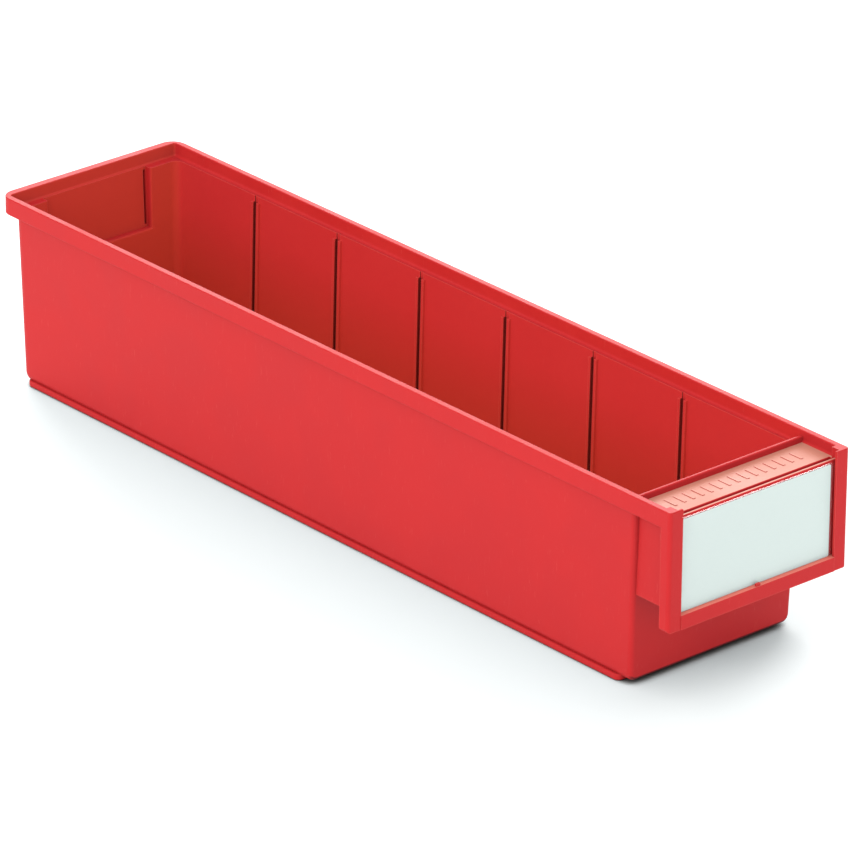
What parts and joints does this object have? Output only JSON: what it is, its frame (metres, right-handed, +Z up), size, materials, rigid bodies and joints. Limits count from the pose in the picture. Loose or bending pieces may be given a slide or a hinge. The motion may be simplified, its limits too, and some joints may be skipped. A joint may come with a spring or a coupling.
{
  "type": "stackable storage bin",
  "caption": "Long open-topped moulded storage bin with a stacking collar, divider slots in both long walls and a front label holder with card and clear cover.",
  "frame": {"origin": "on the shelf plane, under the centre of the bin's bounding box", "axes": "+Z up, -Y towards the label holder at the front, +Y towards the back wall, X across the bin"},
  "size_m": [0.092, 0.4, 0.082],
  "materials": {
    "red_polypropylene": "moulded, fine satin texture, glossier on the ledge",
    "label_paper": "plain white card",
    "clear_plastic": "clear sheet"
  },
  "bodies": {
    "bin": {"bin_body": "red_polypropylene"},
    "card": {"label_card": "label_paper"},
    "cover": {"label_cover": "clear_plastic"}
  },
  "joints": [
    {"name": "card_lift", "type": "slide", "parent": "bin", "child": "card", "axis": [0, 0, 1], "range_m": [0, 0.05]},
    {"name": "cover_lift", "type": "slide", "parent": "bin", "child": "cover", "axis": [0, 0, 1], "range_m": [0, 0.05]}
  ]
}
